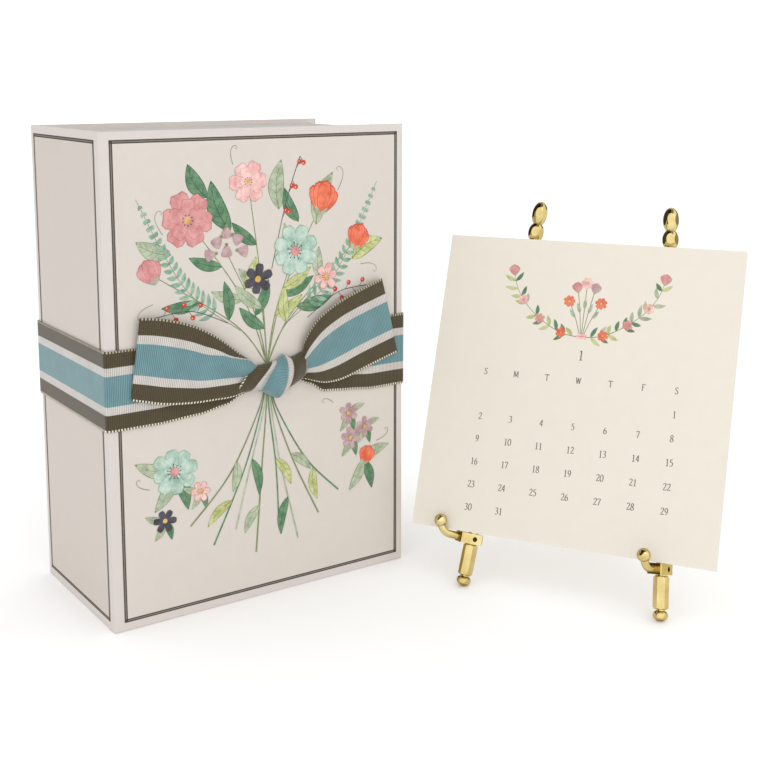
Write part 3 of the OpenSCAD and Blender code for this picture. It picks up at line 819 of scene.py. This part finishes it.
# x, z, turn, size, hand
TENDRILS = ((27, 168, 2.2, 15, -1), (112, 182, 1.0, 16, 1), (124, 148, 0.1, 14, -1),
            (22, 140, 3.4, 13, 1), (60, 196, 1.9, 12, -1))
LOW_TENDRILS = ((18, 60, 2.9, 11, -1), (133, 62, 0.2, 12, 1), (110, 84, 2.4, 9, 1))
STEM_ENDS = ((36, 40), (47, 29), (58, 34), (68, 21), (80, 30), (90, 23), (101, 33), (112, 42))


def head(p, rand, kind, x, z, size, a, b, layer):
    """One flower of the cover, from a row of HEADS or SMALL_HEADS."""
    if kind == "peony":
        peony(p, x, z, size, a, b, layer, rand)
    elif kind == "daisy":
        daisy(p, x, z, size, 8 if size > 9 else 6, a, b, "pink" if a == "mint" else "gold", layer, rand, 0.72)
    elif kind == "tulip":
        tulip(p, x, z - size * 0.25, math.radians(90 - (x - COVER_MID) * 0.5), size, a, b, layer)
    else:
        bells(p, [(x + dx, z + dz, math.radians(-90 + 16 * dx)) for dx, dz in BELLS], a, b, layer, size)


def bouquet(p, rand):
    """The bunch above the bow: stems with leaves, broad leaves, fronds, tendrils, berries, then the heads."""
    for _, x, z, _, _, _ in HEADS:
        dx, dz = x - TIE[0], z - TIE[1]
        bend = (TIE[0] + dx * 0.35 - dx * 0.18 * 0.3, TIE[1] + dz * 0.45)
        stem = spline([TIE, bend, (x, z)], 10)
        p.stroke(stem, 0.65, INK["moss"], 0, taper=lambda u: 1.1 - 0.5 * u)
        for u in (0.42, 0.66):
            sx, sz = along_line(stem, u)
            hand = 1 if rand.random() < 0.5 else -1
            body, rim = rand.choice(GREENS + GREENS[:1])
            p.leaf(sx, sz, math.atan2(dz, dx) + hand * 0.75, 15 + 4 * rand.random(), 5.5,
                   INK[body], INK[rim], 1, bend=0.06 * hand, n=12)
    for x, z, t, length, width, body, rim in BROAD_LEAVES:
        p.leaf(x, z, t, length, width, INK[body], INK[rim], 1, bend=0.09, n=14, veins=5)
    for x0, z0, x1, z1 in FRONDS:
        frond = spline([(x0, z0), (x0 + (x1 - x0) * 0.55, z0 + (z1 - z0) * 0.35), (x1, z1)], 12)
        p.stroke(frond, 0.4, INK["moss"], 0, taper=lambda u: 1 - 0.5 * u)
        for k in range(18):
            u = 0.2 + 0.044 * k
            fx, fz = along_line(frond, u)
            ax, az = along_line(frond, u - 0.02)
            t = math.atan2(fz - az, fx - ax)
            for s in (-1, 1):
                p.leaf(fx, fz, t + s * 0.95, 8.5 * (1.08 - u), 2.0, INK["teal"], INK["green"], 1,
                       bend=0.05 * s, n=6, veins=0)
    for row in TENDRILS:
        tendril(p, *row)
    for x0, z0, x1, z1 in TWIGS:
        twig = spline([(x0, z0), ((x0 + x1) / 2, (z0 + z1) / 2 + 4), (x1, z1)], 8)
        p.stroke(twig, 0.3, INK["charcoal"], 3)
        for k in range(6):
            bx, bz = along_line(twig, 0.45 + 0.11 * k)
            hand = -1 if k % 2 else 1
            p.stroke([(bx, bz), (bx + 1.6, bz + 2.4 * hand)], 0.2, INK["charcoal"], 3)
            p.dot(bx + 1.8, bz + 2.9 * hand, 1.15, INK["red"], 4, 12)
            p.dot(bx + 1.5, bz + 3.15 * hand, 0.32, INK["blush"], 4.1, 6)
    for k, row in enumerate(HEADS):
        head(p, rand, *row, 5 + 3.2 * (k % 3))


def lower_print(p, rand):
    """Stems below the bow, and small posies to their left and right."""
    for k, (x, z) in enumerate(STEM_ENDS):
        dx = x - COVER_MID
        lean = dx * 0.1
        stem = spline([(COVER_MID + lean * 0.3, 99), (COVER_MID + lean * 1.3, 86),
                       (COVER_MID + dx * 0.5 + 1.5 * math.sin(k * 2.1), 60), (x, z)], 8)
        p.stroke(stem, 0.72, INK[("moss", "green", "sage")[k % 3]], 0.3 * (k % 3),
                 taper=lambda u: 0.8 + 0.35 * u)
        for u, hand in ((0.52, 1), (0.72, -1)):
            if (k + (hand > 0)) % 2:
                sx, sz = along_line(stem, u)
                body, rim = GREENS[(k + 1) % 3]
                p.leaf(sx, sz, math.radians(-90 + dx * 0.9 + 26 * hand), 14 + (k % 3) * 2, 4.6,
                       INK[body], INK[rim], 1.5 + 0.3 * k, bend=0.08 * hand, n=12)
    for row in SMALL_HEADS:
        _, x, z, size, _, _ = row
        for turn, tone in ((-1.25, 0), (-2.1, 1), (0.35 if x > COVER_MID else 2.8, 1)):
            body, rim = GREENS[tone]
            p.leaf(x, z, turn, size * 1.75, size * 0.52 + 0.6, INK[body], INK[rim], 1, bend=0.07, n=10)
        head(p, rand, *row, 5 + 2.6 * (int(z) % 3))
    for row in LOW_TENDRILS:
        tendril(p, *row)


def cover_print():
    """The bordered front with its bouquet, and the plain bordered spine."""
    rand = random.Random(7)
    p = Print(**COVER_PRINT)
    border(p, BOX_W, FRONT_MARGINS, PANEL)
    bouquet(p, rand)
    lower_print(p, rand)
    p.build("cover_print_front", on_front, "base")
    q = Print(**COVER_PRINT)
    # the spine's panel in its darker copy of the panel paper, painted shade
    border(q, BOX_D, SPINE_MARGINS, PANEL_SPINE_PAINTED_SHADE)
    q.build("cover_print_spine", on_spine, "base")


cover_print()

# Ribbon: the band round the box

BAND_WIDTH = 34.0
BAND_OUT, BAND_CORNER = 0.85, 1.3  # the cloth's middle off the boards, and the radius of its corners
GATHERED = 22.0  # how much narrower the band is where it is gathered most
BAND_FOLD, BAND_WAVE = 1.5, 0.12  # depth of its folds under the knot, and of its slow wave beside it
BAND_TURN_STEPS = 6
BAND_COLS, KNOT_COLS, KNOT_ROWS, TAIL_COLS = 23, 41, 45, 25


def perimeter(radius, out):
    """Closed path round the box, at out from it, with rounded corners."""
    pts = []
    corners = [(0, 0, 180), (BOX_W, 0, 270), (BOX_W, BOX_D, 0), (0, BOX_D, 90)]
    for cx, cy, start in corners:
        ix = cx + (radius - out if cx == 0 else out - radius)
        iy = cy + (radius - out if cy == 0 else out - radius)
        for k in range(BAND_TURN_STEPS + 1):
            pts.append(polar(ix, iy, math.radians(start + 90 * k / BAND_TURN_STEPS), radius))
    return pts + pts[:1]


path = perimeter(BAND_CORNER, BAND_OUT)
PATH_LENGTH = sum(math.dist(a, b) for a, b in zip(path, path[1:]))
BAND_ROWS = int(round(PATH_LENGTH / (PICOT / 2) / 2) * 2)
BAND_PITCH = PATH_LENGTH / BAND_ROWS
path_points = [along_line(path, i / BAND_ROWS) for i in range(BAND_ROWS)]


def tooth(i, j, cols, size=0.16):
    """How far the small loops reach out along both edges."""
    if j not in (0, cols - 1):
        return 0.0
    return (size if i % 2 else 0.0) * (-1 if j == 0 else 1)


# heights of the band's two edges across the front, where the knot gathers it
BAND_TOP = [(30, 122.3), (45, 121), (55, 116), (62, 110), (68, 106.5), (76, 106), (84, 106.5), (90, 109),
            (95, 114), (100, 120), (106, 122), (112, 122.3)]
BAND_FOOT = [(22.9, 88.3), (41.6, 89.6), (54, 92.2), (61, 95.8), (66, 97.5), (75, 97), (82, 97), (89, 99),
             (95.5, 96), (104.3, 90.8), (119.5, 89.5), (130, 88.3)]


def band_point(i, j):
    """i round the box, j up from the lower edge; under the knot the band is gathered in folds."""
    x, y = path_points[i]
    v = j / (BAND_COLS - 1)
    front = y < 0
    at = x if front else 0.0
    (high,), (foot,) = table(BAND_TOP, at), table(BAND_FOOT, at)
    gather = (BAND_WIDTH - (high - foot)) / GATHERED
    z = foot + v * (high - foot) + tooth(i, j, BAND_COLS)
    out = 0.0
    if front:
        out = BAND_FOLD * gather * (0.5 + 0.5 * math.sin(2 * math.pi * (2.5 * v + 0.12)))
        out += BAND_WAVE * (1 - gather) * (0.5 + 0.5 * math.sin(x / 9.0 + 3 * v))
    return (box_frame @ Vector((x, y - out, z))) * MM


def band_coords(i, j):
    """The ribbon coordinate of a point of the band."""
    return (i * BAND_PITCH, j / (BAND_COLS - 1))


def wrap_band():
    """The band's cloth. Its last step back to the start would run back through the whole U range, so
    the loops there get a turn's length added."""
    band = cloth("ribbon_band_cloth", band_point, band_coords, BAND_ROWS, BAND_COLS, ring=True)
    weave = band.data.uv_layers["weave"]
    for poly in band.data.polygons:
        values = [weave.data[k].uv[0] for k in poly.loop_indices]
        if max(values) - min(values) > PATH_LENGTH / 2:
            for k in poly.loop_indices:
                if weave.data[k].uv[0] < PATH_LENGTH / 2:
                    weave.data[k].uv[0] += PATH_LENGTH
    return band


band = wrap_band()
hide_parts("ribbon_band")
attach(band, "ribbon")

# Ribbon: the knot

# by share of the ribbon's width: where its turn over the knot starts and ends on the front, and how
# far it stands out
KNOT_TOP = [(0, 63.9, 104.7), (0.1, 70.0, 107.5), (0.21, 77.0, 108.3), (0.315, 79.1, 108.5),
            (0.5, 80.9, 109.9), (0.7, 82.5, 111.0), (0.81, 85.9, 108.9), (0.9, 89.3, 109.8), (1, 93.0, 111.2)]
KNOT_LOW = [(0, 58.3, 97.2), (0.1, 61.5, 96.5), (0.21, 65.0, 96.7), (0.315, 70.1, 96.6),
            (0.5, 76.6, 92.7), (0.7, 78.6, 91.6), (0.81, 83.1, 94.9), (0.9, 87.5, 96.8), (1, 92.2, 98.8)]
KNOT_OUT = [(0, 4.8), (0.1, 5.6), (0.21, 6.0), (0.30, 6.4), (0.33, 7.6), (0.5, 9.3), (0.62, 9.4),
            (0.7, 8.6), (0.81, 7.2), (0.9, 6.0), (1, 4.6)]
KNOT_BASE = 1.2


def ridge(v, at, width):
    """A soft ridge across the ribbon, 1 at its crest."""
    return math.exp(-(((v - at) / width) ** 2))


def knot_point(i, j):
    """i down over the knot from its upper edge, j across the ribbon."""
    v, w = j / (KNOT_COLS - 1), i / (KNOT_ROWS - 1)
    tx, tz = table(KNOT_TOP, v)
    bx, bz = table(KNOT_LOW, v)
    (depth,) = table(KNOT_OUT, v)
    arch = math.sin(math.pi * w)
    side = arch * (0.7 * smooth_step((v - 0.6) / 0.4) - 1.9 * (1 - smooth_step((v - 0.28) / 0.25)))
    k = 0.35 * (0.5 - 0.5 * math.cos(math.pi * w)) + 0.65 * w
    x = tx + (bx - tx) * k + side + tooth(i, j, KNOT_COLS, 0.14)
    z = tz + (bz - tz) * k
    out = KNOT_BASE + (depth - KNOT_BASE) * arch ** 0.55
    out += 0.22 * math.sin(9 * v + 5 * w) * arch ** 2
    # two creases beside the middle stripe, and a slanting fold across it
    fold = 0.9 * ridge(v, 0.60 - 0.22 * w, 0.07)
    low_crease = 1.3 * ridge(v, 0.305, 0.022)
    high_crease = 0.7 * ridge(v, 0.80, 0.03)
    out += arch * (fold - low_crease - high_crease)
    return (box_frame @ Vector((x, -out, z))) * MM


def knot_coords(i, j):
    """U is scaled down towards the left edge, which is shorter, so that ribs and loops keep their size."""
    v = j / (KNOT_COLS - 1)
    return ((i - KNOT_ROWS / 2) * PICOT * (0.19 + 0.23 * smooth_step(v / 0.4)), v)


knot = cloth("ribbon_knot_cloth", knot_point, knot_coords, KNOT_ROWS, KNOT_COLS)
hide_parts("ribbon_knot")
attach(knot, "ribbon")

# Ribbon: the tails, from the knot outwards

LEFT_TOP = [(68.5, 107.6), (64.8, 110.9), (60.3, 114.2), (50.0, 122.5), (39.9, 128.6), (30.3, 132.3),
            (21.5, 134.4), (14.0, 135.2)]
LEFT_LOW = [(64.0, 97.8), (60.3, 96.9), (53.3, 96.0), (48.6, 95.9), (36.5, 95.7), (24.6, 96.8),
            (16.5, 98.8), (9.6, 100.7)]
RIGHT_TOP = [(88.6, 108.8), (92.0, 110.7), (93.2, 116.8), (99.6, 125.5), (109.6, 131.9), (121.0, 136.4),
             (135.0, 140.6)]
RIGHT_LOW = [(88.3, 99.6), (93.6, 98.6), (101.8, 95.9), (110.3, 95.6), (118.0, 97.0), (126.2, 99.3),
             (144.7, 104.3)]
TAIL_OUT, TAIL_LEAST = 2.5, 1.75  # off the board at its ends, before the waves, and at least


def tail(name, node_name, top, bottom, folded):
    """One tail between its upper and its lower edge; folded is the share of the width that a fold hides
    at the knot."""
    top_line, low_line = spline(top, 8), spline(bottom, 8)
    length = sum(math.dist(a, b) for a, b in zip(low_line, low_line[1:]))
    rows = int(length / (PICOT / 2))

    def point(i, j):
        u, v = i / (rows - 1), j / (TAIL_COLS - 1)
        tx, tz = along_line(top_line, u)
        bx, bz = along_line(low_line, u)
        near, tuck = 1 - smooth_step(u / 0.62), 1 - smooth_step(u / 0.16)
        x = bx + (tx - bx) * v
        z = bz + (tz - bz) * v + tooth(i, j, TAIL_COLS)
        out = TAIL_OUT + 1.6 * near * (1 - tuck)
        out += (1.3 * (1 - tuck) + 0.25 * tuck) * near * math.sin(2 * math.pi * (1.6 * v + 0.1))
        out += 0.5 * (1 - near) * math.sin(math.pi * (v * 1.3 + 0.4 + u))
        out += 1.3 * math.sin(math.pi * u) * (0.4 + 0.6 * v)
        return (box_frame @ Vector((x, -max(out, TAIL_LEAST), z))) * MM

    def coords(i, j):
        u, v = i / (rows - 1), j / (TAIL_COLS - 1)
        lost = folded * (1 - smooth_step(u / 0.5))
        fold = 1.05 - 0.23 * smooth_step(u / 0.3)
        return (i * PICOT / 2, v * (1 - lost) + lost * smooth_step((v - fold) / 0.09 + 0.5))

    obj = cloth(name, point, coords, rows, TAIL_COLS)
    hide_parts(node_name)
    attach(obj, "ribbon")
    return obj


left_tail = tail("ribbon_tail_left_cloth", "ribbon_tail_left", LEFT_TOP, LEFT_LOW, 0.40)
right_tail = tail("ribbon_tail_right_cloth", "ribbon_tail_right", RIGHT_TOP, RIGHT_LOW, 0.0)

# Floor

FLOOR_HALF, FLOOR_DROP = 4, 0.0002  # metres


def floor_material():
    """White, with faint slow clouds."""
    m, t, s = new_material("floor_white", Roughness=0.9, Specular_IOR_Level=0.1)
    cloud = noise(t, object_place(t), 3.0)
    link(t, grey_ramp(t, cloud, (0.3, 0.96), (0.7, 0.975)), s, "Base Color")
    return m


corners = [(x * FLOOR_HALF, y * FLOOR_HALF, 0) for x, y in ((-1, -1), (1, -1), (1, 1), (-1, 1))]
floor = make("floor", corners, [(0, 1, 2, 3)], [floor_material()])
floor.location.z = -FLOOR_DROP

# Light: a plain bright studio and one softbox

# what the metal mirrors: a white tent, dark low down on its far side behind the object (BEHIND), with a
# dark patch high on the left (SIDE) and a dim roof
BEHIND, SIDE = (-0.41, 0.91, 0.0), (-0.74, -0.22, 0.64)
PLAIN_LIGHT, MIRRORED_LIGHT, SEEN_LIGHT = 1.12, 1.3, 1.2
KEY_SPOT, KEY_TARGET = Vector((0.75, -0.55, 1.15)), Vector((0, 0, 0.08))
KEY_SIZE, KEY_POWER = 0.55, 1.6


def studio():
    """The world: even white light, the tent for whatever mirrors it, and a white backdrop."""
    world = bpy.data.worlds.new("studio")
    bpy.context.scene.world = world
    world.use_nodes = True
    sky = world.node_tree
    sky.nodes.clear()
    direction = node(sky, "ShaderNodeTexCoord").outputs["Generated"]
    height = node(sky, "ShaderNodeSeparateXYZ", {0: direction}).outputs["Z"]

    def towards(way):
        ins = {0: direction, 1: way}
        return node(sky, "ShaderNodeVectorMath", ins, operation="DOT_PRODUCT").outputs["Value"]

    def background(colour, strength):
        return node(sky, "ShaderNodeBackground", {"Color": colour, "Strength": strength}).outputs[0]

    def either(which, no, yes):
        return node(sky, "ShaderNodeMixShader", {0: rays.outputs[which], 1: no, 2: yes}).outputs[0]

    behind = grey_ramp(sky, towards(BEHIND), (0.12, 1.0), (0.36, 0.10), (1.0, 0.03))
    tent = mix(sky, "MIX", map_range(sky, height, 0.30, 0.62), behind, grey(1.0))
    tent = mix(sky, "MULTIPLY", 1.0, tent, grey_ramp(sky, towards(SIDE), (0.60, 1.0), (0.70, 0.04)))
    tent = mix(sky, "MULTIPLY", 1.0, tent, map_range(sky, height, 0.80, 0.88, 1.0, 0.22))
    rays = node(sky, "ShaderNodeLightPath")
    plain, white = background(grey(1.0), PLAIN_LIGHT), background(grey(1.0), SEEN_LIGHT)
    lit = either("Is Glossy Ray", plain, background(tent, MIRRORED_LIGHT))
    node(sky, "ShaderNodeOutputWorld", {0: either("Is Camera Ray", lit, white)})


def softbox():
    """A square lamp, above the viewer and to the right."""
    lamp = bpy.data.lights.new("key", "AREA")
    lamp.shape, lamp.size, lamp.energy = "SQUARE", KEY_SIZE, KEY_POWER
    key = bpy.data.objects.new("key", lamp)
    bpy.context.scene.collection.objects.link(key)
    key.location = KEY_SPOT
    key.rotation_euler = (KEY_TARGET - KEY_SPOT).to_track_quat("-Z", "Y").to_euler()


studio()
softbox()

# Camera, fitted to the photograph's corners

LENS, SENSOR, SHIFT_X, SHIFT_Y = 57.81, 36.0, 0.00425, -0.15342
EYE = ORIGIN * MM + Vector((0.14584, -0.51172, 0.23502))
LOOK_DOWN, LOOK_LEFT = 8.8796, 24.3848


def camera():
    """The photograph's view, without depth of field."""
    lens = bpy.data.cameras.new("view")
    lens.lens, lens.sensor_width, lens.shift_x, lens.shift_y = LENS, SENSOR, SHIFT_X, SHIFT_Y
    eye = bpy.data.objects.new("view", lens)
    bpy.context.scene.collection.objects.link(eye)
    eye.location = EYE
    eye.rotation_euler = (math.radians(90 - LOOK_DOWN), 0.0, math.radians(LOOK_LEFT))
    bpy.context.scene.camera = eye
    bpy.context.scene.view_settings.view_transform = "Standard"


camera()
